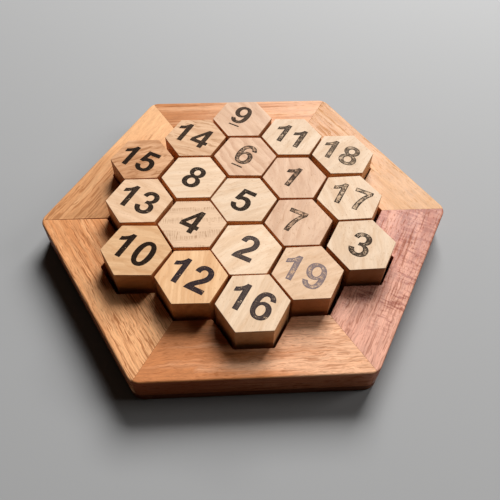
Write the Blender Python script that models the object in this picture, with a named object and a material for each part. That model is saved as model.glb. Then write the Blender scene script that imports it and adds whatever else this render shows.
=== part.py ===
"""Hexagon number puzzle: a six-sided wooden tray with nineteen numbered tiles lying loose in it.

Metres, +Z up. The origin is in the middle of the tray's underside. Two corners of the tray point
along +X and -X, and two of its flat sides face +Y and -Y. Six mitred rails lie on a floor board,
and their inner ends follow the outline of nineteen hexagonal places. Each tile slides straight up,
along +Z, out of its place.
"""
import math

import bmesh
import bpy
from mathutils import Matrix, Vector

# Driving dimensions
PITCH = 0.022            # middle to middle of neighbouring places
PLACE_ACROSS = 0.0225    # a place, from wall to wall
TILE_ACROSS = 0.0207     # a tile, from side to side
TILE_PROUD = 0.0084      # a tile's top above the rails' top
TILE_BEVEL = 0.00025     # breaks a tile's edges
TRAY_RADIUS = 0.0754     # the tray's middle to a corner, before its corners are rounded
RAIL_TOP = 0.0125        # the rails' top above the table
FLOOR_THICK = 0.0035     # the floor board's thickness
CORNER_BEVEL = 0.0025    # rounds the tray's upright corners
RIM_BEVEL = 0.0008       # rounds the outer edge of the rails' top
FOOT_BEVEL = 0.0005      # rounds the floor board's lower edge
GAP = 0.0003             # between pieces that rest on each other or meet in a glued joint

# Numbers on the tiles, in columns from -X to +X, each column from -Y to +Y
COLUMNS = (
    (10, 13, 15),
    (12, 4, 8, 14),
    (16, 2, 5, 6, 9),
    (19, 7, 1, 11),
    (3, 17, 18),
)

# How each loose tile has settled in its place: shift along X and Y in millimetres, turn in degrees
SETTLED = {
    1: (-0.5, -0.8, -1.5),
    2: (-0.8, -0.4, 0.0),
    3: (0.1, 0.0, 1.5),
    4: (-0.1, 0.3, -1.0),
    5: (-0.8, 0.0, -2.0),
    6: (0.7, 0.1, -2.5),
    7: (-1.2, -0.3, 0.0),
    8: (0.2, 0.7, -0.5),
    9: (0.6, -0.1, -1.0),
    10: (0.3, 0.7, -2.5),
    11: (0.6, -0.4, -1.5),
    12: (-0.2, 0.2, -1.0),
    13: (-0.1, 0.9, -0.5),
    14: (0.7, 0.3, -1.0),
    15: (-0.4, 0.0, 0.0),
    16: (0.1, 0.5, 0.5),
    17: (-0.6, -0.5, 2.0),
    18: (0.3, -0.1, -0.5),
    19: (-0.4, 0.3, 1.0),
}

# Rails: name, the direction that each one's outer side faces in degrees, and its wood's colour
RAILS = (
    ("rail_back_right", 30, (0.62, 0.34, 0.17)),
    ("rail_back", 90, (0.53, 0.26, 0.12)),
    ("rail_back_left", 150, (0.56, 0.29, 0.14)),
    ("rail_front_left", 210, (0.45, 0.21, 0.09)),
    ("rail_front", 270, (0.43, 0.19, 0.09)),
    ("rail_front_right", 330, (0.47, 0.22, 0.15)),
)

FLOOR_COLOUR = (0.36, 0.18, 0.09)
PALE_TILE = (0.64, 0.45, 0.28)
TAN_TILE = (0.58, 0.36, 0.21)
AMBER_TILE = (0.52, 0.29, 0.13)
TILE_COLOURS = {
    1: TAN_TILE,
    6: TAN_TILE,
    7: TAN_TILE,
    9: TAN_TILE,
    10: AMBER_TILE,
    12: AMBER_TILE,
    14: AMBER_TILE,
    15: AMBER_TILE,
    19: TAN_TILE,
}

# Sizes that follow from them
TAN30 = math.tan(math.radians(30))
COS30 = math.cos(math.radians(30))
RAIL_FOOT = FLOOR_THICK + GAP
TILE_FOOT = FLOOR_THICK + GAP
TILE_TOP = RAIL_TOP + TILE_PROUD
HALF_PLACE = PLACE_ACROSS / 2


def clear_scene():
    """Remove every object that the file opens with."""
    for obj in list(bpy.data.objects):
        bpy.data.objects.remove(obj, do_unlink=True)


def make_collection(name):
    """Make a collection in the scene and return it."""
    collection = bpy.data.collections.new(name)
    bpy.context.scene.collection.children.link(collection)
    return collection


def wood(name, colour, roughness):
    """Make a plain wooden material."""
    material = bpy.data.materials.new(name)
    material.use_nodes = True
    shader = material.node_tree.nodes["Principled BSDF"]
    shader.inputs["Base Color"].default_value = (*colour, 1.0)
    shader.inputs["Roughness"].default_value = roughness
    shader.inputs["Metallic"].default_value = 0.0
    return material


def hexagon_prism(radius, bottom, top):
    """Make a bmesh prism with two of its corners along X, from height bottom to height top."""
    prism = bmesh.new()
    place = Matrix.Translation((0, 0, (bottom + top) / 2)) @ Matrix.Rotation(math.radians(30), 4, "Z")
    bmesh.ops.create_cone(
        prism, cap_ends=True, segments=6, radius1=radius, radius2=radius, depth=top - bottom, matrix=place
    )
    return prism


def edges_at(solid, height):
    """List the edges that lie level at a height."""
    return [edge for edge in solid.edges if all(abs(corner.co.z - height) < 1e-6 for corner in edge.verts)]


def upright_edges(solid):
    """List the edges that stand upright."""
    return [edge for edge in solid.edges if abs((edge.verts[0].co - edge.verts[1].co).normalized().z) > 0.99]


def bevel(solid, edges, width, segments):
    """Round some edges of a bmesh solid."""
    bmesh.ops.bevel(
        solid, geom=edges, offset=width, offset_type="OFFSET", segments=segments, profile=0.5, affect="EDGES"
    )


def add_solid(name, solid, collection):
    """Turn a bmesh solid into an object."""
    bmesh.ops.recalc_face_normals(solid, faces=solid.faces)
    mesh = bpy.data.meshes.new(name)
    solid.to_mesh(mesh)
    solid.free()
    obj = bpy.data.objects.new(name, mesh)
    collection.objects.link(obj)
    return obj


def tray_block(bottom, top, rounded_height, rim_width):
    """Make the tray's outer shape between two heights, rounded at its corners and along one level edge."""
    block = hexagon_prism(TRAY_RADIUS, bottom, top)
    bevel(block, upright_edges(block), CORNER_BEVEL, 4)
    bevel(block, edges_at(block, rounded_height), rim_width, 3)
    return block


def make_floor(collection):
    """The board under the rails and the tiles."""
    board = add_solid("base_board", tray_block(0, FLOOR_THICK, 0, FOOT_BEVEL), collection)
    board.data.materials.append(wood("base_board", FLOOR_COLOUR, 0.6))


def rail_outline():
    """Corners of a rail that faces +X, seen from above, which is longer outwards than the tray is.

    Its inner end follows the walls of a corner place, in the middle, and of half of the place on
    either side of it. Its two ends are mitred at 30 degrees to X.
    """
    mitre_shift = GAP / 2 / COS30
    side_wall = 1.5 * PITCH + HALF_PLACE
    corner_wall = 2 * PITCH + HALF_PLACE
    outside = TRAY_RADIUS * 1.1
    upper = (
        (outside, outside * TAN30 - mitre_shift),
        (side_wall, side_wall * TAN30 - mitre_shift),
        (side_wall, (HALF_PLACE / 2 + PITCH / 4) / COS30),
        (corner_wall, HALF_PLACE * TAN30),
    )
    lower = tuple((x, -y) for x, y in reversed(upper))
    return upper + lower


def rail_blank(collection):
    """Extrude the rail's outline well above and below the rail, as a mesh."""
    half_height = RAIL_TOP
    curve = bpy.data.curves.new("rail_outline", "CURVE")
    curve.dimensions = "2D"
    curve.fill_mode = "BOTH"
    curve.extrude = half_height
    corners = rail_outline()
    spline = curve.splines.new("POLY")
    spline.points.add(len(corners) - 1)
    for point, (x, y) in zip(spline.points, corners):
        point.co = (x, y, 0, 1)
    spline.use_cyclic_u = True
    guide = bpy.data.objects.new("rail_outline", curve)
    collection.objects.link(guide)
    bpy.context.view_layer.update()
    evaluated = guide.evaluated_get(bpy.context.evaluated_depsgraph_get())
    mesh = bpy.data.meshes.new_from_object(evaluated)
    bpy.data.objects.remove(guide, do_unlink=True)
    blank = bmesh.new()
    blank.from_mesh(mesh)
    bmesh.ops.remove_doubles(blank, verts=blank.verts, dist=1e-5)
    bmesh.ops.recalc_face_normals(blank, faces=blank.faces)
    bmesh.ops.translate(blank, verts=blank.verts, vec=(0, 0, half_height))
    blank.to_mesh(mesh)
    blank.free()
    return mesh


def make_rails(collection, cutters):
    """The six rails around the places, trimmed together to the tray's outer shape."""
    shape = add_solid("rail_ring_shape", tray_block(RAIL_FOOT, RAIL_TOP, RAIL_TOP, RIM_BEVEL), cutters)
    shape.hide_render = True
    shape.display_type = "WIRE"
    blank = rail_blank(cutters)
    for name, facing, colour in RAILS:
        rail = bpy.data.objects.new(name, blank.copy())
        rail.data.name = name
        rail.rotation_euler.z = math.radians(facing)
        rail.data.materials.append(wood(name, colour, 0.5))
        collection.objects.link(rail)
        trim = rail.modifiers.new("trim", "BOOLEAN")
        trim.operation = "INTERSECT"
        trim.solver = "EXACT"
        trim.object = shape


def places():
    """Yield each tile's number and the middle of its place."""
    for column, numbers in enumerate(COLUMNS):
        x = (column - 2) * COS30 * PITCH
        for row, number in enumerate(numbers):
            y = (row - (len(numbers) - 1) / 2) * PITCH
            yield number, Vector((x, y, 0))


def make_tiles(collection):
    """The nineteen loose tiles, each with its origin in the middle of its foot."""
    for number, middle in places():
        name = f"tile_{number:02d}"
        prism = hexagon_prism(TILE_ACROSS / 2 / COS30, 0, TILE_TOP - TILE_FOOT)
        bevel(prism, list(prism.edges), TILE_BEVEL, 1)
        tile = add_solid(name, prism, collection)
        shift_x, shift_y, turn = SETTLED[number]
        tile.location = middle + Vector((shift_x / 1000, shift_y / 1000, TILE_FOOT))
        tile.rotation_euler.z = math.radians(turn)
        tile.data.materials.append(wood(name, TILE_COLOURS.get(number, PALE_TILE), 0.55))


def main():
    """Build the whole puzzle."""
    clear_scene()
    puzzle = make_collection("hexagon_number_puzzle")
    cutters = make_collection("cutters")
    make_floor(puzzle)
    make_rails(puzzle, cutters)
    make_tiles(puzzle)


main()
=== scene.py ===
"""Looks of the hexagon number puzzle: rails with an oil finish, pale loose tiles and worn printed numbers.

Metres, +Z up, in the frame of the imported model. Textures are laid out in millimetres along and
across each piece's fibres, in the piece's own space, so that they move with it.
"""
import math

import bmesh
import bpy
from mathutils import Matrix, Vector
from mathutils.kdtree import KDTree


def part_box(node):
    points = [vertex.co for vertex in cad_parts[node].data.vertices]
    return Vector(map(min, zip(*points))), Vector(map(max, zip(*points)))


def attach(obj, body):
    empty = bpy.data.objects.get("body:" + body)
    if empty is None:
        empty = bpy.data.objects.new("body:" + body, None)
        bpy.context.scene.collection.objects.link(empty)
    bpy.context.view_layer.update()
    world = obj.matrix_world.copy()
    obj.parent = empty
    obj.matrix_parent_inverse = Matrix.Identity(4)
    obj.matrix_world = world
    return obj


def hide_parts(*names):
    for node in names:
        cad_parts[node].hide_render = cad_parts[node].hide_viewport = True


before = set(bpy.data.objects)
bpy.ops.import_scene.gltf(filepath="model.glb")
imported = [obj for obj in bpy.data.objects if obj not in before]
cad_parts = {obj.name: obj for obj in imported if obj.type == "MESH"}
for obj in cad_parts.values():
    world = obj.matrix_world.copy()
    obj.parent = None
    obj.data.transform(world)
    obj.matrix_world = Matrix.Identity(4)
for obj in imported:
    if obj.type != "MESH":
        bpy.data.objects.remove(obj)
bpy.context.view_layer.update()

TAN30 = math.tan(math.radians(30))
COS30 = math.cos(math.radians(30))
MM = 0.001

# Tray, from the frame and from the places' layout
PITCH = 22 * MM
PLACE_ACROSS = 22.5 * MM
TRAY_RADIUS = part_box("base_board")[1].y / COS30
BOARD_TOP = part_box("base_board")[1].z
RAIL_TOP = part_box("rail_front")[1].z
CORNER_BEVEL = 2.5 * MM
RIM_BEVEL = 0.8 * MM
FOOT_BEVEL = 0.5 * MM
RECESS_BEVEL = 0.2 * MM
RECESS_CORNER_BEVEL = 0.3 * MM
SEAM = 0.05 * MM
# The mitres that aren't tight: the way that each one points, and by how much it gapes towards the
# recess, both in degrees
GAPE = {180: 0.55}
# Points closer than this count as one
WELD = 1e-7

# Tiles
TILE_CORNER_BEVEL = 0.2 * MM
TILE_EDGE_BEVEL = 0.15 * MM

# Numbers. The steps from digit to digit are in digit heights, and the digits of 11 stand closer than
# the others. The tilt is in degrees
DIGIT_HEIGHT = 10.4 * MM
DIGIT_STEP = 0.72
ONES_STEP = 0.68
NUMBER_TILT = -30
INK_PROUD = 0.03 * MM
INK_DEPTH = 0.12 * MM
BAR_SIZE = (4.5 * MM, 0.6 * MM)
BAR_DROP = 6.8 * MM
INK_RIM = 0.55 * MM
INK_GRID = 0.35 * MM

# Painted shade: how much deeper the sides are tinted than the top, in red, green and blue. Tiles 3 and 19
# differ
PAINTED_TRAY_SIDE_SHADE = (0.54, 0.33, 0.24, 1.0)
PAINTED_TILE_SIDE_SHADE = (0.96, 0.7, 0.47, 1.0)
PAINTED_DARK_SIDE_SHADE = (0.58, 0.38, 0.24, 1.0)
PAINTED_RED_SIDE_SHADE = (0.76, 0.49, 0.32, 1.0)

WOOD_GLOSS = 0.12
INK_GLOSS = 0.05
INK_ROUGHNESS = 0.7
WOOD_RELIEF = 0.05 * MM
INK_RELIEF = 0.03 * MM


# ---------------------------------------------------------------- shader nodes


class Tree:
    """Adds nodes to a shader tree. A socket given as an input is linked, and anything else is set."""

    def __init__(self, tree):
        self.tree = tree

    def add(self, kind, inputs=None, **settings):
        node = self.tree.nodes.new("ShaderNode" + kind)
        for name, value in settings.items():
            setattr(node, name, value)
        for socket, value in (inputs or {}).items():
            if isinstance(value, bpy.types.NodeSocket):
                self.tree.links.new(value, node.inputs[socket])
            else:
                node.inputs[socket].default_value = value
        return node

    def math(self, operation, a, b=0.0, clamp=False):
        return self.add("Math", {0: a, 1: b}, operation=operation, use_clamp=clamp).outputs[0]

    def vector(self, operation, a, b):
        return self.add("VectorMath", {0: a, 1: b}, operation=operation).outputs[0]

    def step(self, value, low, high):
        """A smooth step from 0 at low to 1 at high."""
        inputs = {"Value": value, "From Min": low, "From Max": high}
        return self.add("MapRange", inputs, interpolation_type="SMOOTHSTEP").outputs[0]

    def spread(self, value, low, high, to_low, to_high):
        """Value between low and high, moved to between to_low and to_high."""
        inputs = {"Value": value, "From Min": low, "From Max": high, "To Min": to_low, "To Max": to_high}
        return self.add("MapRange", inputs).outputs[0]

    def noise(self, place, scale, detail=2.0, roughness=0.5):
        inputs = {"Vector": place, "Scale": scale, "Detail": detail, "Roughness": roughness}
        return self.add("TexNoise", inputs).outputs["Fac"]

    def mix(self, amount, first, second, blend="MIX"):
        """Mix two colours."""
        node = self.add("Mix", data_type="RGBA", blend_type=blend)
        for socket, value in (("Factor_Float", amount), ("A_Color", first), ("B_Color", second)):
            target = next(put for put in node.inputs if put.identifier == socket)
            if isinstance(value, bpy.types.NodeSocket):
                self.tree.links.new(value, target)
            else:
                target.default_value = value
        return next(out for out in node.outputs if out.identifier == "Result_Color")


def group_sockets(group, inputs, outputs):
    """Give a node group its sockets, and return its input and output nodes."""
    for name, kind, value in inputs:
        socket = group.interface.new_socket(name, in_out="INPUT", socket_type="NodeSocket" + kind)
        if value is not None:
            socket.default_value = value
    for name, kind in outputs:
        group.interface.new_socket(name, in_out="OUTPUT", socket_type="NodeSocket" + kind)
    return group.nodes.new("NodeGroupInput").outputs, group.nodes.new("NodeGroupOutput").inputs


def make_wood_group():
    """Solid wood, with its fibres along X. Local is in millimetres from the middle of the piece."""
    group = bpy.data.node_groups.new("solid_wood", "ShaderNodeTree")
    put, out = group_sockets(
        group,
        (
            ("Local", "Vector", None),
            ("Offset", "Vector", None),
            ("Pale", "Color", (0.6, 0.4, 0.25, 1)),
            ("Deep", "Color", (0.4, 0.22, 0.12, 1)),
            ("Pore", "Color", (0.15, 0.07, 0.03, 1)),
            ("Lean", "Float", 0.0),
            ("Band Width", "Float", 3.0),
            ("Band Amount", "Float", 0.5),
            ("Ring Width", "Float", 3.0),
            ("Ring Amount", "Float", 0.2),
            ("Wave", "Float", 0.6),
            ("Streak Length", "Float", 8.0),
            ("Streak Gap", "Float", 0.8),
            ("Streak Share", "Float", 0.5),
            ("Streak Lean", "Float", 0.0),
            ("Streak Depth", "Float", 0.4),
            ("Pore Length", "Float", 4.0),
            ("Pore Gap", "Float", 0.7),
            ("Pore Share", "Float", 0.5),
            ("Pore Depth", "Float", 0.5),
            ("Tick Gap", "Float", 1.2),
            ("Tick Height", "Float", 5.0),
            ("Tick Rows", "Float", 0.0),
            ("Tick Amount", "Float", 0.0),
            ("Tick Lean", "Float", 0.0),
            ("Fibre", "Float", 0.1),
        ),
        (("Color", "Color"), ("Height", "Float"), ("Pores", "Float")),
    )
    t = Tree(group)
    local = put["Local"]
    place = t.vector("ADD", local, put["Offset"])
    along = t.math("DIVIDE", t.add("SeparateXYZ", {0: local}).outputs["X"], 10.0)

    # Fibres wander slowly to either side, and more quickly over short lengths
    slow = t.noise(t.vector("MULTIPLY", place, (0.025, 0.09, 0.09)), 1.0, 1.0)
    quick = t.noise(t.vector("MULTIPLY", place, (0.16, 0.3, 0.3)), 1.0, 1.0)
    wander = t.math("ADD", t.math("MULTIPLY", slow, 4.0), t.math("MULTIPLY", quick, 2.0))
    wander = t.math("MULTIPLY", t.math("SUBTRACT", wander, 3.0), put["Wave"])
    shift = t.add("CombineXYZ", {"X": 0.0, "Y": wander, "Z": wander}).outputs[0]
    fibres = t.vector("ADD", place, shift)

    def stretched(length, gap):
        """The place along the fibres, with lengths and gaps brought to about 1."""
        per_gap = t.math("DIVIDE", 1.0, gap)
        scale = t.add("CombineXYZ", {"X": t.math("DIVIDE", 1.0, length), "Y": per_gap, "Z": per_gap})
        return t.vector("MULTIPLY", fibres, scale.outputs[0])

    # Broad bands of deeper colour
    bands = t.noise(stretched(80.0, put["Band Width"]), 1.0, 3.0, 0.55)
    bands = t.step(t.math("ADD", bands, t.math("MULTIPLY", along, put["Lean"])), 0.35, 0.68)

    # Growth rings around a pith that runs along X, out of the piece
    across = t.vector("MULTIPLY", fibres, (0.0, 1.0, 1.0))
    radius = t.add("VectorMath", {0: across}, operation="LENGTH").outputs["Value"]
    ring_wobble = t.noise(t.vector("MULTIPLY", place, (0.04, 0.2, 0.2)), 1.0, 2.0)
    rings = t.math("ADD", t.math("DIVIDE", radius, put["Ring Width"]), ring_wobble)
    rings = t.math("FRACT", rings)
    rings = t.math("MULTIPLY", t.step(rings, 0.1, 0.85), t.math("SUBTRACT", 1.0, t.step(rings, 0.85, 1.0)))

    # Fine fibre texture
    fine = t.noise(t.vector("MULTIPLY", fibres, (0.12, 1.3, 1.3)), 1.0, 4.0, 0.7)
    hair = t.noise(t.vector("MULTIPLY", fibres, (0.7, 7.0, 7.0)), 1.0, 2.0, 0.6)
    grain = t.math("ADD", fine, t.math("MULTIPLY", t.math("SUBTRACT", hair, 0.5), 0.5))
    grain = t.math("SUBTRACT", grain, 0.5)

    # Dark streaks: uneven rows of open vessels that run together
    streaks = t.noise(stretched(put["Streak Length"], put["Streak Gap"]), 1.0, 2.0, 0.55)
    crowd = t.noise(t.vector("MULTIPLY", place, (0.07, 0.16, 0.16)), 1.0, 1.0)
    share = t.math("ADD", put["Streak Share"], t.math("MULTIPLY", along, put["Streak Lean"]))
    share = t.math("ADD", share, t.math("SUBTRACT", crowd, 0.5))
    limit = t.spread(share, 0.0, 1.0, 0.68, 0.38)
    streaks = t.math("DIVIDE", t.math("SUBTRACT", streaks, limit), 0.18)
    streaks = t.math("MULTIPLY", t.step(streaks, 0.0, 1.0), put["Streak Depth"])

    # Pores: single vessels that show as short dark dashes along the fibres, and as dots across them
    cells = t.add("TexVoronoi", {"Vector": stretched(put["Pore Length"], put["Pore Gap"]), "Scale": 1.0})
    size = t.add("SeparateColor", {"Color": cells.outputs["Color"]}).outputs
    kept = t.step(size[0], t.math("SUBTRACT", put["Pore Share"], 0.08), put["Pore Share"])
    reach = t.spread(size[1], 0.0, 1.0, 0.2, 0.4)
    edge = t.math("DIVIDE", cells.outputs["Distance"], reach)
    pores = t.math("MULTIPLY", t.math("SUBTRACT", 1.0, t.step(edge, 0.35, 1.0)), put["Pore Depth"])
    pores = t.math("MULTIPLY", pores, t.math("SUBTRACT", 1.0, kept))
    dark = t.math("MAXIMUM", pores, streaks)

    # Ticks that cross the fibres: ragged ones in patches, or even ones in rows along the growth rings
    per_height = t.math("DIVIDE", 1.0, put["Tick Height"])
    per_gap = t.math("DIVIDE", 1.0, put["Tick Gap"])
    scale = t.add("CombineXYZ", {"X": per_gap, "Y": per_height, "Z": per_height}).outputs[0]
    ragged = t.noise(t.vector("MULTIPLY", place, scale), 1.0, 2.0, 0.6)
    ragged = t.step(ragged, 0.44, 0.66)
    patches = t.noise(t.vector("MULTIPLY", place, (0.05, 0.1, 0.1)), 1.0, 2.0)
    patches = t.math("ADD", patches, t.math("MULTIPLY", along, put["Tick Lean"]))
    patches = t.math("MULTIPLY", ragged, t.step(patches, 0.38, 0.6))
    jitter = t.math("MULTIPLY", t.noise(t.vector("MULTIPLY", place, (0.9, 0.2, 0.2)), 1.0, 1.0), 2.0)
    count = t.math("MULTIPLY", t.add("SeparateXYZ", {0: place}).outputs["X"], per_gap)
    even = t.math("PINGPONG", t.math("ADD", count, jitter), 0.5)
    even = t.math("MULTIPLY", t.step(even, 0.15, 0.45), t.step(rings, 0.35, 0.9))
    faded = t.spread(t.noise(t.vector("MULTIPLY", place, (0.5, 0.6, 0.6)), 1.0, 1.0), 0.35, 0.6, 0.35, 1.0)
    even = t.math("MULTIPLY", even, faded)
    ticks = t.add("Mix", {0: put["Tick Rows"], 2: patches, 3: even}).outputs[0]
    ticks = t.math("MULTIPLY", ticks, put["Tick Amount"])

    deep = t.math("MULTIPLY", bands, put["Band Amount"])
    deep = t.math("ADD", deep, t.math("MULTIPLY", rings, put["Ring Amount"]))
    deep = t.math("ADD", deep, ticks, clamp=True)
    colour = t.mix(deep, put["Pale"], put["Deep"])
    shade = t.math("ADD", 1.0, t.math("MULTIPLY", grain, put["Fibre"]))
    grey = t.add("CombineColor", {"Red": shade, "Green": shade, "Blue": shade}).outputs[0]
    colour = t.mix(1.0, colour, grey, "MULTIPLY")
    colour = t.mix(dark, colour, put["Pore"])
    height = t.math("SUBTRACT", t.math("MULTIPLY", grain, 0.5), dark)
    group.links.new(colour, out["Color"])
    group.links.new(height, out["Height"])
    group.links.new(dark, out["Pores"])
    return group


WOOD = make_wood_group()


def start_material(name):
    """Make an empty material and return it with its tree and its surface input."""
    material = bpy.data.materials.new(name)
    material.use_nodes = True
    material.node_tree.nodes.clear()
    tree = Tree(material.node_tree)
    surface = tree.add("OutputMaterial").inputs["Surface"]
    return material, tree, surface


def wood_node(tree, heading, offset, tilt=0.0, **look):
    """Add the wood, with its fibres turned from +X by heading in degrees and its pith off by offset in mm."""
    own = tree.add("TexCoord").outputs["Object"]
    millimetres = tree.vector("MULTIPLY", own, (1000, 1000, 1000))
    turn = Matrix.Rotation(math.radians(-tilt), 3, "Y") @ Matrix.Rotation(math.radians(-heading), 3, "Z")
    local = tree.add("Mapping", {"Vector": millimetres, "Rotation": turn.to_euler()}).outputs[0]
    node = tree.add("Group", node_tree=WOOD)
    tree.tree.links.new(local, node.inputs["Local"])
    node.inputs["Offset"].default_value = offset
    for name, value in look.items():
        socket = node.inputs[name.replace("_", " ").title()]
        socket.default_value = (*value, 1.0) if isinstance(value, tuple) else value
    return node.outputs, local


def finish_wood(tree, surface, colour, height, rough, relief, gloss, painted_side_shade):
    """Add the shader of a wooden surface with an oil finish, and painted shade that tints its upright sides
    deeper.
    """
    normal = tree.add("Bump", {"Height": height, "Strength": 0.6, "Distance": relief}).outputs[0]
    # Painted shade: faces that stand upright, and the rounded rims in part, are tinted by the side shade
    facing = tree.add("SeparateXYZ", {0: tree.add("TexCoord").outputs["Normal"]}).outputs["Z"]
    side = tree.math("SUBTRACT", 1.0, tree.step(tree.math("ABSOLUTE", facing), 0.2, 0.95))
    side_in_shade = tree.mix(1.0, colour, painted_side_shade, "MULTIPLY")
    colour = tree.mix(side, colour, side_in_shade)
    inputs = {"Base Color": colour, "Roughness": rough, "Normal": normal, "Specular IOR Level": gloss}
    shader = tree.add("BsdfPrincipled", inputs)
    tree.tree.links.new(shader.outputs[0], surface)


def wood_material(name, rough, painted_side_shade, **look):
    """A wooden material of its own for one piece."""
    material, tree, surface = start_material(name)
    wood, local = wood_node(tree, **look)
    cloud = tree.noise(tree.vector("MULTIPLY", local, (0.08, 0.2, 0.2)), 1.0, 3.0)
    rough = tree.math("ADD", tree.spread(cloud, 0.3, 0.7, rough - 0.06, rough + 0.06), wood["Pores"])
    finish_wood(tree, surface, wood["Color"], wood["Height"], rough, WOOD_RELIEF, WOOD_GLOSS, painted_side_shade)
    return material


def ink_material(name, ink, wear, strength, look):
    """Ink on a tile's wood, worn through to the wood in specks and patches, least along its edges."""
    material, tree, surface = start_material(name)
    wood, place = wood_node(tree, **look)
    own = tree.vector("MULTIPLY", tree.add("TexCoord").outputs["Object"], (1000, 1000, 1000))
    specks = tree.noise(own, 3.0, 3.0, 0.75)
    patches = tree.noise(own, 0.55, 2.0, 0.5)
    rim = tree.add("Attribute", attribute_name="ink_rim").outputs["Fac"]
    worn = tree.math("ADD", tree.math("MULTIPLY", specks, 0.65), tree.math("MULTIPLY", patches, 0.35))
    worn = tree.math("SUBTRACT", worn, tree.math("MULTIPLY", rim, 0.16 * wear))
    limit = 0.68 - 0.2 * wear
    left = tree.math("SUBTRACT", 1.0, tree.step(worn, limit - 0.05, limit + 0.05))
    thin = tree.spread(specks, 0.3, 0.7, strength + 0.06, strength - 0.06)
    thin = tree.math("ADD", thin, tree.math("MULTIPLY", rim, 0.5 * (1 - strength)))
    left = tree.math("MULTIPLY", left, thin, clamp=True)
    colour = tree.mix(left, wood["Color"], (*ink, 1.0))
    finish_wood(tree, surface, colour, wood["Height"], INK_ROUGHNESS, INK_RELIEF, INK_GLOSS, PAINTED_TILE_SIDE_SHADE)
    return material


# ---------------------------------------------------------------- meshes


def hexagon_prism(radius, bottom, top):
    """Make a bmesh prism with two of its corners along X."""
    prism = bmesh.new()
    place = Matrix.Translation((0, 0, (bottom + top) / 2)) @ Matrix.Rotation(math.radians(30), 4, "Z")
    bmesh.ops.create_cone(
        prism, cap_ends=True, segments=6, radius1=radius, radius2=radius, depth=top - bottom, matrix=place
    )
    return prism


def level_edges(solid, height):
    """List the edges that lie level at a height."""
    return [edge for edge in solid.edges if all(abs(corner.co.z - height) < 1e-6 for corner in edge.verts)]


def upright_edges(solid):
    """List the edges that stand upright."""
    return [edge for edge in solid.edges if abs((edge.verts[0].co - edge.verts[1].co).normalized().z) > 0.99]


def round_edges(solid, edges, width, segments):
    """Round some edges of a bmesh solid."""
    bmesh.ops.bevel(
        solid, geom=edges, offset=width, offset_type="OFFSET", segments=segments, profile=0.5, affect="EDGES"
    )


def add_piece(name, solid, material, smooth_below=40):
    """Turn a bmesh solid into an object, smooth over edges that turn by less than an angle in degrees."""
    bmesh.ops.recalc_face_normals(solid, faces=solid.faces)
    mesh = bpy.data.meshes.new(name)
    solid.to_mesh(mesh)
    solid.free()
    mesh.shade_smooth()
    mesh.set_sharp_from_angle(angle=math.radians(smooth_below))
    mesh.materials.append(material)
    piece = bpy.data.objects.new(name, mesh)
    bpy.context.scene.collection.objects.link(piece)
    weighted = piece.modifiers.new("flat_faces", "WEIGHTED_NORMAL")
    weighted.keep_sharp = True
    return piece


def tray_block(bottom, top, rounded_height, rim):
    """The tray's outer shape between two heights, rounded at its corners and along one level edge."""
    block = hexagon_prism(TRAY_RADIUS, bottom, top)
    round_edges(block, upright_edges(block), CORNER_BEVEL, segments=8)
    round_edges(block, level_edges(block, rounded_height), rim, segments=6)
    return block


def recess_outline():
    """Corners of the wall around the nineteen places, seen from above."""
    half_place = PLACE_ACROSS / 2
    side_wall = 1.5 * PITCH + half_place
    corner_wall = 2 * PITCH + half_place
    tooth = (half_place / 2 + PITCH / 4) / COS30
    pocket = half_place * TAN30
    stretch = ((side_wall, -tooth), (corner_wall, -pocket), (corner_wall, pocket), (side_wall, tooth))
    outline = []
    for sector in range(6):
        turn = Matrix.Rotation(math.radians(60 * sector + 30), 3, "Z")
        outline += [turn @ Vector((x, y, 0)) for x, y in stretch]
        outline.append(turn @ Vector((side_wall, side_wall * TAN30, 0)))
    return outline


def cut_recess(block):
    """Cut the places out of the tray's block with a Boolean."""
    cutter = bmesh.new()
    floor = cutter.faces.new([cutter.verts.new(corner) for corner in recess_outline()])
    wall = bmesh.ops.extrude_face_region(cutter, geom=[floor])
    raised = [item for item in wall["geom"] if isinstance(item, bmesh.types.BMVert)]
    bmesh.ops.translate(cutter, verts=raised, vec=(0, 0, 2 * RAIL_TOP))
    cutter_piece = add_piece("recess_cutter", cutter, None)
    whole = add_piece("ring", block, None)
    whole.modifiers.clear()
    cut = whole.modifiers.new("recess", "BOOLEAN")
    cut.operation = "DIFFERENCE"
    cut.solver = "EXACT"
    cut.object = cutter_piece
    bpy.context.view_layer.update()
    result = bmesh.new()
    result.from_object(whole, bpy.context.evaluated_depsgraph_get())
    for piece in (whole, cutter_piece):
        bpy.data.objects.remove(piece, do_unlink=True)
    return result


def in_recess(edge):
    """Whether an edge is on the recess's wall, which is well inside the tray's rim."""
    reach = 2.6 * PITCH
    return all(corner.co.to_2d().length < reach for corner in edge.verts)


def make_ring():
    """The six rails as one solid, before it is parted at the mitres."""
    ring = cut_recess(tray_block(BOARD_TOP + SEAM, RAIL_TOP, RAIL_TOP, RIM_BEVEL))
    bmesh.ops.dissolve_limit(ring, angle_limit=math.radians(0.5), verts=ring.verts, edges=ring.edges)
    walls = [edge for edge in upright_edges(ring) if in_recess(edge)]
    round_edges(ring, walls, RECESS_CORNER_BEVEL, segments=3)
    rims = [edge for edge in level_edges(ring, RAIL_TOP) if in_recess(edge)]
    round_edges(ring, rims, RECESS_BEVEL, segments=2)
    return ring


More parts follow.
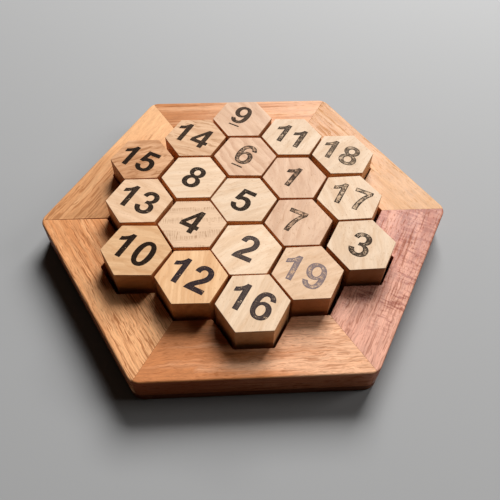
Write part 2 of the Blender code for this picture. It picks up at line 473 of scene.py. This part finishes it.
def part_rail(ring, facing):
    """Part the rail that faces one way from the ring, with half of a mitre seam at each end."""
    rail = ring.copy()
    for side in (-1, 1):
        angle = (facing + 30 * side) % 360
        gape = side * GAPE.get(angle, 0)
        corner = Matrix.Rotation(math.radians(angle), 3, "Z") @ Vector((TRAY_RADIUS, 0, 0))
        mitre = Matrix.Rotation(math.radians(angle + gape), 3, "Z") @ Vector((0, side, 0))
        geometry = rail.verts[:] + rail.edges[:] + rail.faces[:]
        cut = bmesh.ops.bisect_plane(
            rail, geom=geometry, dist=WELD, clear_outer=True,
            plane_co=corner - mitre * SEAM / 2, plane_no=mitre,
        )
        rim = [item for item in cut["geom_cut"] if isinstance(item, bmesh.types.BMEdge)]
        bmesh.ops.contextual_create(rail, geom=rim)
    return rail


# ---------------------------------------------------------------- tray

RAIL_LOOKS = {
    "rail_back_right": dict(
        facing=30, seed=1, pale=(0.53, 0.289, 0.136), deep=(0.47, 0.228, 0.093),
        band_width=4.0, band_amount=1.0, lean=0.05, wave=1.0,
        streak_length=18.0, streak_gap=0.7, streak_share=0.45, streak_lean=0.06, streak_depth=0.3,
        pore_length=4.0, pore_gap=0.45, pore_share=0.5, pore_depth=0.3, fibre=0.8,
    ),
    "rail_back": dict(
        facing=90, seed=2, pale=(0.58, 0.295, 0.145), deep=(0.41, 0.158, 0.053),
        band_width=3.0, band_amount=1.0, lean=0.03, wave=0.5,
        streak_length=30.0, streak_gap=0.9, streak_share=0.45, streak_lean=0.06, streak_depth=0.5,
        pore_length=4.0, pore_gap=0.45, pore_share=0.5, pore_depth=0.35, fibre=0.8,
    ),
    "rail_back_left": dict(
        facing=150, seed=3, pale=(0.675, 0.37, 0.18), deep=(0.545, 0.26, 0.112),
        band_width=4.0, band_amount=1.0, lean=0.07, wave=0.7,
        streak_length=24.0, streak_gap=0.8, streak_share=0.4, streak_lean=0.12, streak_depth=0.6,
        pore_length=4.0, pore_gap=0.45, pore_share=0.5, pore_depth=0.35, fibre=0.8,
    ),
    "rail_front_left": dict(
        facing=210, seed=4, pale=(0.745, 0.38, 0.175), deep=(0.545, 0.223, 0.084),
        band_width=3.0, band_amount=0.8, lean=-0.05, wave=0.6,
        streak_length=24.0, streak_gap=0.6, streak_share=0.6, streak_lean=0.05, streak_depth=0.75,
        pore_length=7.0, pore_gap=0.42, pore_share=0.8, pore_depth=0.7, fibre=1.1,
    ),
    "rail_front": dict(
        facing=270, seed=5, pale=(0.73, 0.395, 0.226), deep=(0.505, 0.19, 0.069),
        band_width=4.0, band_amount=1.0, lean=-0.09, wave=0.9,
        streak_length=9.0, streak_gap=0.45, streak_share=0.5, streak_lean=0.05, streak_depth=0.5,
        pore_length=3.0, pore_gap=0.45, pore_share=0.7, pore_depth=0.45, fibre=1.0,
    ),
    "rail_front_right": dict(
        facing=330, seed=6, pale=(0.65, 0.325, 0.225), deep=(0.35, 0.13, 0.088),
        band_width=5.0, band_amount=0.65, lean=0.05, wave=0.8,
        streak_length=14.0, streak_gap=0.5, streak_share=0.5, streak_lean=-0.04, streak_depth=0.45,
        pore_length=3.0, pore_gap=0.45, pore_share=0.7, pore_depth=0.45, fibre=1.0,
        tick_gap=0.8, tick_amount=0.9, tick_lean=0.05,
    ),
}
# How much deeper a pore is than the deep wood around it
PORE_SHADE = (0.5, 0.36, 0.26)


def shaded(colour, shade):
    """A colour with each part multiplied by its share."""
    return tuple(part * share for part, share in zip(colour, shade))


def make_rails():
    """The six rails, each with its own piece of wood, its fibres along its outer side."""
    ring = make_ring()
    for node, look in RAIL_LOOKS.items():
        look = dict(look)
        facing = look.pop("facing")
        seed = look.pop("seed")
        look["pore"] = shaded(look["deep"], PORE_SHADE)
        # Each rail's seed takes it to another place in the log
        material = wood_material(
            node + "_wood", heading=facing + 90, offset=(seed * 97.0, seed * 31.0 + 60, 40.0), tilt=2.0,
            ring_width=5.0, ring_amount=0.15, rough=0.42, painted_side_shade=PAINTED_TRAY_SIDE_SHADE, **look
        )
        rail = add_piece(node + "_wood", part_rail(ring, facing), material)
        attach(rail, "tray")
        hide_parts(node)
    ring.free()


def make_board():
    """The board under the rails and the tiles."""
    material = wood_material(
        "base_board_wood", heading=0, offset=(13.0, 50.0, 20.0), tilt=1.0, rough=0.6, painted_side_shade=PAINTED_TRAY_SIDE_SHADE,
        pale=(0.33, 0.16, 0.078), deep=(0.22, 0.09, 0.04), pore=(0.08, 0.035, 0.015),
        band_width=5.0, band_amount=0.7, ring_width=6.0, ring_amount=0.2,
        wave=0.8, pore_share=0.5, pore_depth=0.7, fibre=0.4,
    )
    board = add_piece("base_board_wood", tray_block(0, BOARD_TOP, 0, FOOT_BEVEL), material)
    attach(board, "tray")
    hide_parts("base_board")


# ---------------------------------------------------------------- numbers


def ellipse(x, y, half_width, half_height, fullness=0.5523):
    """A closed outline of four curves, rounder than an ellipse where fullness is over 0.5523."""
    pull_x = half_width * fullness
    pull_y = half_height * fullness
    left, right, low, high = x - half_width, x + half_width, y - half_height, y + half_height
    return (
        (x, high),
        (x + pull_x, high, right, y + pull_y, right, y),
        (right, y - pull_y, x + pull_x, low, x, low),
        (x - pull_x, low, left, y - pull_y, left, y),
        (left, y + pull_y, x - pull_x, high, x, high),
    )


def turned(outline):
    """An outline turned upside down about the middle of a digit."""
    flips = (0.67, 1.0)
    return tuple(tuple(flips[i % 2] - part for i, part in enumerate(point)) for point in outline)


SIX = (
    (
        (0.64, 0.76), (0.62, 0.92, 0.51, 1.015, 0.355, 1.015), (0.13, 1.015, 0.005, 0.83, 0.005, 0.49),
        (0.005, 0.15, 0.135, -0.015, 0.345, -0.015), (0.535, -0.015, 0.665, 0.125, 0.665, 0.325),
        (0.665, 0.525, 0.545, 0.655, 0.385, 0.655), (0.305, 0.655, 0.24, 0.62, 0.19, 0.56),
        (0.195, 0.77, 0.255, 0.865, 0.35, 0.865), (0.41, 0.865, 0.45, 0.825, 0.46, 0.745),
    ),
    ellipse(0.34, 0.325, 0.14, 0.2),
)

# Bold upright digits, one unit high. Each outline starts at a point and goes on by straight lines to
# (x, y), or by curves with two handles, to the last pair of (x, y, x, y, x, y).
DIGITS = {
    "0": (ellipse(0.335, 0.5, 0.33, 0.515, 0.6), ellipse(0.335, 0.5, 0.135, 0.36, 0.62)),
    "1": (
        (
            (0.45, 0.0), (0.45, 1.0), (0.3, 1.0), (0.25, 0.88, 0.15, 0.79, 0.015, 0.745), (0.015, 0.575),
            (0.11, 0.605, 0.19, 0.65, 0.26, 0.715), (0.26, 0.0),
        ),
    ),
    "2": (
        (
            (0.665, 0.0), (0.665, 0.175), (0.285, 0.175), (0.305, 0.215, 0.35, 0.26, 0.43, 0.33),
            (0.58, 0.465, 0.645, 0.56, 0.645, 0.715), (0.645, 0.89, 0.525, 1.015, 0.335, 1.015),
            (0.145, 1.015, 0.035, 0.91, 0.015, 0.705), (0.205, 0.685),
            (0.21, 0.8, 0.255, 0.855, 0.33, 0.855), (0.405, 0.855, 0.452, 0.8, 0.452, 0.715),
            (0.452, 0.615, 0.4, 0.55, 0.27, 0.43), (0.09, 0.265, 0.02, 0.15, 0.0, 0.0),
        ),
    ),
    "3": (
        (
            (0.0, 0.285), (0.185, 0.31), (0.195, 0.2, 0.25, 0.135, 0.33, 0.135),
            (0.415, 0.135, 0.472, 0.195, 0.472, 0.295), (0.472, 0.39, 0.415, 0.445, 0.34, 0.445),
            (0.31, 0.445, 0.285, 0.44, 0.25, 0.43), (0.27, 0.58), (0.38, 0.578, 0.44, 0.63, 0.44, 0.72),
            (0.44, 0.805, 0.395, 0.86, 0.32, 0.86), (0.245, 0.86, 0.2, 0.8, 0.19, 0.71), (0.015, 0.74),
            (0.045, 0.92, 0.155, 1.015, 0.325, 1.015), (0.505, 1.015, 0.625, 0.905, 0.625, 0.75),
            (0.625, 0.65, 0.575, 0.57, 0.485, 0.525), (0.6, 0.495, 0.665, 0.405, 0.665, 0.285),
            (0.665, 0.11, 0.53, -0.015, 0.33, -0.015), (0.145, -0.015, 0.015, 0.1, 0.0, 0.285),
        ),
    ),
    "4": (
        (
            (0.395, 0.0), (0.58, 0.0), (0.58, 0.2), (0.69, 0.2), (0.69, 0.365), (0.58, 0.365), (0.58, 1.0),
            (0.42, 1.0), (0.0, 0.365), (0.0, 0.2), (0.395, 0.2),
        ),
        ((0.395, 0.365), (0.165, 0.365), (0.395, 0.715)),
    ),
    "5": (
        (
            (0.0, 0.27), (0.19, 0.29), (0.2, 0.19, 0.255, 0.13, 0.33, 0.13),
            (0.42, 0.13, 0.472, 0.2, 0.472, 0.325), (0.472, 0.44, 0.42, 0.505, 0.33, 0.505),
            (0.27, 0.505, 0.215, 0.48, 0.18, 0.435), (0.025, 0.455), (0.12, 1.0), (0.62, 1.0),
            (0.62, 0.825), (0.26, 0.825), (0.23, 0.645),
            (0.275, 0.665, 0.315, 0.675, 0.365, 0.675), (0.54, 0.675, 0.665, 0.54, 0.665, 0.335),
            (0.665, 0.13, 0.53, -0.015, 0.33, -0.015), (0.145, -0.015, 0.02, 0.09, 0.0, 0.27),
        ),
    ),
    "6": SIX,
    "7": (
        (
            (0.02, 1.0), (0.66, 1.0), (0.66, 0.86), (0.5, 0.7, 0.375, 0.37, 0.37, 0.0), (0.185, 0.0),
            (0.19, 0.31, 0.3, 0.62, 0.45, 0.825), (0.02, 0.825),
        ),
    ),
    "8": (
        (
            (0.335, 1.015), (0.51, 1.015, 0.63, 0.905, 0.63, 0.75), (0.63, 0.65, 0.58, 0.57, 0.49, 0.53),
            (0.6, 0.49, 0.665, 0.4, 0.665, 0.285), (0.665, 0.105, 0.53, -0.015, 0.335, -0.015),
            (0.14, -0.015, 0.005, 0.105, 0.005, 0.285), (0.005, 0.4, 0.07, 0.49, 0.18, 0.53),
            (0.09, 0.57, 0.04, 0.65, 0.04, 0.75), (0.04, 0.905, 0.16, 1.015, 0.335, 1.015),
        ),
        ellipse(0.335, 0.73, 0.115, 0.135),
        ellipse(0.335, 0.29, 0.14, 0.16),
    ),
    "9": tuple(turned(outline) for outline in SIX),
}


def add_outline(curve, outline, place):
    """Add a closed Bezier spline along an outline, with its points moved by place."""
    ends = [Vector(point[-2:]) for point in outline]
    if (ends[0] - ends[-1]).length < 1e-6:
        ends.pop()
    count = len(ends)
    spline = curve.splines.new("BEZIER")
    spline.bezier_points.add(count - 1)
    spline.use_cyclic_u = True
    for point, end in zip(spline.bezier_points, ends):
        point.co = place(end)
        point.handle_left_type = "FREE"
        point.handle_right_type = "FREE"
    for start in range(count):
        stop = (start + 1) % count
        segment = outline[start + 1] if start + 1 < len(outline) else outline[0]
        leave, arrive = ends[start].lerp(ends[stop], 1 / 3), ends[start].lerp(ends[stop], 2 / 3)
        if len(segment) == 6:
            leave, arrive = Vector(segment[0:2]), Vector(segment[2:4])
        spline.bezier_points[start].handle_right = place(leave)
        spline.bezier_points[stop].handle_left = place(arrive)


def number_outlines(text):
    """Each outline of a number with the shift of its digit, and the number's left and right ends."""
    outlines = []
    shift = 0.0
    for digit in text:
        outlines += [(outline, shift) for outline in DIGITS[digit]]
        shift += ONES_STEP if text == "11" else DIGIT_STEP
    ends = [point[-2] + shift for outline, shift in outlines for point in outline]
    return outlines, min(ends), max(ends)


def mark_rim(solid):
    """Cut the number into a fine grid, and mark each point with 1 on the outline that fades to 0 inside."""
    corners = [corner.co.copy() for corner in solid.verts]
    for axis in range(2):
        way = Vector((axis == 0, axis == 1, 0))
        start = min(corner[axis] for corner in corners)
        count = int((max(corner[axis] for corner in corners) - start) / INK_GRID)
        for step in range(1, count + 1):
            geometry = solid.verts[:] + solid.edges[:] + solid.faces[:]
            bmesh.ops.bisect_plane(
                solid, geom=geometry, plane_co=way * (start + step * INK_GRID), plane_no=way, dist=WELD
            )
    outline = []
    for corner in solid.verts:
        if any(abs(face.normal.z) < 0.5 for face in corner.link_faces):
            outline.append(corner)
    nearest = KDTree(len(outline))
    for index, corner in enumerate(outline):
        nearest.insert(corner.co, index)
    nearest.balance()
    rim = solid.verts.layers.float.new("ink_rim")
    for corner in solid.verts:
        corner[rim] = max(0.0, 1 - nearest.find(corner.co)[2] / INK_RIM)


def make_number_mesh(name, text, middle, tilt, underlined):
    """A number as a thin flat solid around height 0, with its middle at a point in a tile's own space."""
    outlines, left, right = number_outlines(text)
    turn = Matrix.Rotation(math.radians(NUMBER_TILT + tilt), 3, "Z")

    def place(point):
        flat = Vector((point.x - (left + right) / 2, point.y - 0.5, 0)) * DIGIT_HEIGHT
        return turn @ (flat + middle)

    curve = bpy.data.curves.new(name, "CURVE")
    curve.dimensions = "2D"
    curve.fill_mode = "BOTH"
    curve.extrude = (INK_DEPTH + INK_PROUD) / 2
    curve.resolution_u = 8
    for outline, shift in outlines:
        add_outline(curve, outline, lambda point, shift=shift: place(point + Vector((shift, 0))))
    if underlined:
        half_width, half_height = (size / 2 / DIGIT_HEIGHT for size in BAR_SIZE)
        x, y = (left + right) / 2, 0.5 - BAR_DROP / DIGIT_HEIGHT
        corners = ((-1, -1), (1, -1), (1, 1), (-1, 1))
        add_outline(curve, tuple((x + half_width * a, y + half_height * b) for a, b in corners), place)
    guide = bpy.data.objects.new(name, curve)
    bpy.context.scene.collection.objects.link(guide)
    bpy.context.view_layer.update()
    mesh = bpy.data.meshes.new_from_object(guide.evaluated_get(bpy.context.evaluated_depsgraph_get()))
    bpy.data.objects.remove(guide, do_unlink=True)
    solid = bmesh.new()
    solid.from_mesh(mesh)
    bmesh.ops.remove_doubles(solid, verts=solid.verts, dist=WELD)
    bpy.data.meshes.remove(mesh)
    mark_rim(solid)
    return solid


# ---------------------------------------------------------------- tiles

# Tones of the tiles' wood, and inks
CREAM = dict(pale=(0.655, 0.485, 0.335), deep=(0.57, 0.385, 0.24))
TAN = dict(pale=(0.62, 0.42, 0.27), deep=(0.52, 0.325, 0.19))
PINK = dict(pale=(0.62, 0.405, 0.265), deep=(0.5, 0.295, 0.18))
AMBER = dict(pale=(0.61, 0.38, 0.205), deep=(0.48, 0.26, 0.12))
HONEY = dict(pale=(0.615, 0.392, 0.235), deep=(0.49, 0.278, 0.15))
BROWN = dict(pale=(0.54, 0.3, 0.16), deep=(0.38, 0.18, 0.08))
BLACK = (0.011, 0.0045, 0.0015)
PURPLE = (0.015, 0.009, 0.014)
BLUE = (0.14, 0.11, 0.125)

TILE_GRAIN = dict(
    band_width=3.0, band_amount=0.7, ring_width=2.6, ring_amount=0.3, wave=0.8, streak_share=0.3,
    streak_length=9.0, streak_gap=0.6, streak_depth=0.15, pore_length=1.6, pore_gap=0.5, pore_share=0.4,
    pore_depth=0.3, fibre=0.35,
)
# Grain of the tiles that differ: rows of open pores, growth arcs, and dark streaks
ROWS = dict(
    ring_width=4.2, ring_amount=0.1, tick_gap=0.8, tick_rows=1.0, tick_amount=0.7, tilt=0.0,
    deep=(0.36, 0.21, 0.115), band_amount=0.15,
)
ARCS = dict(ring_width=2.4, ring_amount=0.8, band_amount=0.4)
STREAKS = dict(streak_length=14.0, streak_gap=0.9, streak_share=0.5, streak_depth=0.5, band_amount=1.0)

# Each tile: its wood, how bright it is next to that wood's usual tone, its grain if that differs, and the
# way its fibres run in degrees. Then where its number sits in mm along the number's own right and up,
# the number's extra tilt in degrees, its ink, how worn the ink is and how strong, and the painted shade
# on the tile's sides if that differs
TILES = {
    1: dict(
        wood=PINK, bright=0.97, heading=95,
        at=(-1.6, -0.1), tilt=-4.5, ink=BLACK, wear=0.6, strength=0.92,
    ),
    2: dict(
        wood=CREAM, bright=1.12, heading=35,
        at=(0.0, 0.4), tilt=0.5, ink=PURPLE, wear=0.2, strength=0.92,
    ),
    3: dict(
        wood=CREAM, bright=0.97, heading=80,
        at=(-0.2, -0.3), tilt=-1.5, ink=BLACK, wear=0.65, strength=0.92, side=PAINTED_DARK_SIDE_SHADE,
    ),
    4: dict(
        wood=TAN, bright=1.07, grain=ROWS, heading=2,
        at=(-0.5, 1.0), tilt=0.5, ink=BLACK, wear=0.2, strength=0.97,
    ),
    5: dict(
        wood=CREAM, bright=1.01, heading=20,
        at=(0.1, -0.6), tilt=0.5, ink=BLACK, wear=0.2, strength=0.97,
    ),
    6: dict(
        wood=PINK, bright=1.0, grain=ARCS, heading=130,
        at=(-0.2, 0.8), tilt=-0.5, ink=BLACK, wear=0.7, strength=0.9,
    ),
    7: dict(
        wood=PINK, bright=0.99, heading=75,
        at=(-1.6, -0.4), tilt=-0.5, ink=BLACK, wear=0.85, strength=0.9,
    ),
    8: dict(
        wood=CREAM, bright=1.06, heading=5,
        at=(0.2, 0.0), tilt=-0.5, ink=BLACK, wear=0.2, strength=0.97,
    ),
    9: dict(
        wood=PINK, bright=0.94, heading=120,
        at=(-1.2, 1.7), tilt=0, ink=BLACK, wear=0.2, strength=0.92,
    ),
    10: dict(
        wood=AMBER, bright=1.07, heading=170,
        at=(-0.4, -0.1), tilt=1, ink=BLACK, wear=0.05, strength=1.0,
    ),
    11: dict(
        wood=CREAM, bright=0.93, heading=60,
        at=(-1.1, 0.2), tilt=0, ink=BLACK, wear=0.62, strength=0.92,
    ),
    12: dict(
        wood=AMBER, bright=1.22, heading=85,
        at=(-0.4, 0.5), tilt=0, ink=PURPLE, wear=0.15, strength=0.975,
    ),
    13: dict(
        wood=TAN, bright=1.12, heading=150,
        at=(-0.4, 0.3), tilt=0.5, ink=BLACK, wear=0.2, strength=0.97,
    ),
    14: dict(
        wood=HONEY, bright=1.02, grain=STREAKS, heading=160,
        at=(-1.3, 0.7), tilt=0.5, ink=BLACK, wear=0.2, strength=0.95,
    ),
    15: dict(
        wood=BROWN, bright=1.12, grain=STREAKS, heading=15,
        at=(-1.0, -0.4), tilt=0, ink=BLACK, wear=0.1, strength=1.0,
    ),
    16: dict(
        wood=CREAM, bright=1.08, heading=65,
        at=(-0.3, 0.3), tilt=-0.5, ink=PURPLE, wear=0.35, strength=0.93,
    ),
    17: dict(
        wood=CREAM, bright=0.98, heading=100,
        at=(0.3, 0.5), tilt=-1.5, ink=BLACK, wear=0.9, strength=0.93,
    ),
    18: dict(
        wood=CREAM, bright=0.93, heading=50,
        at=(-1.0, 0.4), tilt=-1, ink=BLACK, wear=0.75, strength=0.84,
    ),
    19: dict(
        wood=TAN, bright=1.07, heading=25,
        at=(-1.0, -0.4), tilt=-0.5, ink=BLUE, wear=0.78, strength=0.86, side=PAINTED_RED_SIDE_SHADE,
    ),
}


def tile_place(node):
    """A tile's place from its CAD node: the middle of its foot, its top, its turn and its half width."""
    low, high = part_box(node)
    middle = (low + high) / 2
    spokes = [(vertex.co - middle).to_2d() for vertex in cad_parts[node].data.vertices]
    longest = max(spoke.length for spoke in spokes)
    angles = [math.degrees(math.atan2(s.y, s.x)) % 60 for s in spokes if s.length > longest - 0.01 * MM]
    turn = sum(angle - 60 if angle > 30 else angle for angle in angles) / len(angles)
    side = Matrix.Rotation(math.radians(turn + 30), 2) @ Vector((1, 0))
    half_across = max(spoke.dot(side) for spoke in spokes)
    return Vector((middle.x, middle.y, low.z)), high.z - low.z, turn, half_across


def make_tile(number, look):
    """A tile and its printed number, in the tile's own space, with the origin in the middle of its foot."""
    node = f"tile_{number:02d}"
    foot, height, turn, half_across = tile_place(node)
    wood = dict(TILE_GRAIN, **look["wood"])
    wood.update(look.get("grain", {}))
    for tone in ("pale", "deep"):
        wood[tone] = shaded(wood[tone], 3 * [look["bright"]])
    # Each tile comes from another place in the log, a little way off the pith
    wood.update(
        heading=look["heading"], offset=(number * 61.0, 18.0 + number % 5 * 4, 9.0 + number % 3 * 5),
        tilt=wood.get("tilt", 4.0 + number % 4 * 3), pore=shaded(wood["deep"], PORE_SHADE),
    )
    block = hexagon_prism(half_across / COS30, 0, height)
    round_edges(block, upright_edges(block), TILE_CORNER_BEVEL, segments=3)
    rims = level_edges(block, height) + level_edges(block, 0)
    round_edges(block, rims, TILE_EDGE_BEVEL, segments=3)
    # Painted shade on the tile's upright sides, deeper for tiles 3 and 19
    painted_side_shade = look.get("side", PAINTED_TILE_SIDE_SHADE)
    material = wood_material(node + "_wood", rough=0.5, painted_side_shade=painted_side_shade, **wood)
    tile = add_piece(node + "_block", block, material)
    middle = Vector((*look["at"], 0)) * MM
    ink = make_number_mesh(node + "_number", str(number), middle, look["tilt"], number in (6, 9))
    bmesh.ops.translate(ink, verts=ink.verts, vec=(0, 0, height + (INK_PROUD - INK_DEPTH) / 2))
    printed = add_piece(
        node + "_number", ink, ink_material(node + "_ink", look["ink"], look["wear"], look["strength"], wood)
    )
    for piece in (tile, printed):
        piece.location = foot
        piece.rotation_euler.z = math.radians(turn)
        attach(piece, node)
    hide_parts(node)


# ---------------------------------------------------------------- stage

CAMERA_PLACE = (-7.8 * MM, -135.7 * MM, 171.4 * MM)
CAMERA_TURN = (36.89, -0.88, -2.92)
CAMERA_ANGLE = 48.0
# Each light: its azimuth and its height in degrees, its size in metres and its power in watts
LIGHTS = {
    "window": dict(azimuth=68, height=42, size=0.62, power=28.0),
    "side_window": dict(azimuth=5, height=33, size=0.5, power=4.0),
}
LIGHT_DISTANCE = 1.2
FILL_COLOUR = (1.0, 0.8, 0.62, 1.0)
FILL_STRENGTH = 0.02
BACKDROP_COLOUR = (0.42, 0.42, 0.42, 1.0)
FLOOR_RADIUS = 1.15
FLOOR_CORNERS = 96
FLOOR_COLOUR = (0.3, 0.3, 0.3, 1.0)


def make_light(name, azimuth, height, size, power):
    """A square soft light that faces the puzzle."""
    light = bpy.data.lights.new(name, "AREA")
    light.shape = "SQUARE"
    light.size = size
    light.energy = power
    lamp = bpy.data.objects.new(name, light)
    bpy.context.scene.collection.objects.link(lamp)
    turn = Matrix.Rotation(math.radians(azimuth), 4, "Z") @ Matrix.Rotation(math.radians(90 - height), 4, "Y")
    lamp.matrix_world = turn @ Matrix.Translation((0, 0, LIGHT_DISTANCE))


def make_stage():
    """A plain round floor, a backdrop, soft lights from behind and from the right, and a faint warm fill."""
    bpy.ops.mesh.primitive_circle_add(vertices=FLOOR_CORNERS, radius=FLOOR_RADIUS, fill_type="NGON")
    floor = bpy.context.object
    floor.name = "floor"
    material, tree, surface = start_material("floor")
    shader = tree.add("BsdfPrincipled", {"Base Color": FLOOR_COLOUR, "Roughness": 0.9})
    tree.tree.links.new(shader.outputs[0], surface)
    floor.data.materials.append(material)

    for name, light in LIGHTS.items():
        make_light(name, **light)
    world = bpy.data.worlds.new("room")
    world.use_nodes = True
    world.node_tree.nodes.clear()
    tree = Tree(world.node_tree)
    fill = tree.add("Background", {"Color": FILL_COLOUR, "Strength": FILL_STRENGTH}).outputs[0]
    backdrop = tree.add("Background", {"Color": BACKDROP_COLOUR, "Strength": 1.0}).outputs[0]
    seen = tree.add("LightPath").outputs["Is Camera Ray"]
    room = tree.add("MixShader", {0: seen, 1: fill, 2: backdrop}).outputs[0]
    tree.add("OutputWorld", {"Surface": room})
    bpy.context.scene.world = world


def make_camera():
    """A camera above the near side, looking down at the puzzle."""
    lens = bpy.data.cameras.new("camera")
    lens.sensor_width = 36
    lens.angle = math.radians(CAMERA_ANGLE)
    lens.clip_start = 0.01
    camera = bpy.data.objects.new("camera", lens)
    camera.location = CAMERA_PLACE
    camera.rotation_euler = [math.radians(angle) for angle in CAMERA_TURN]
    bpy.context.scene.collection.objects.link(camera)
    bpy.context.scene.camera = camera
    bpy.context.scene.view_settings.view_transform = "Standard"


make_camera()
make_stage()
make_board()
make_rails()
for number, look in TILES.items():
    make_tile(number, look)
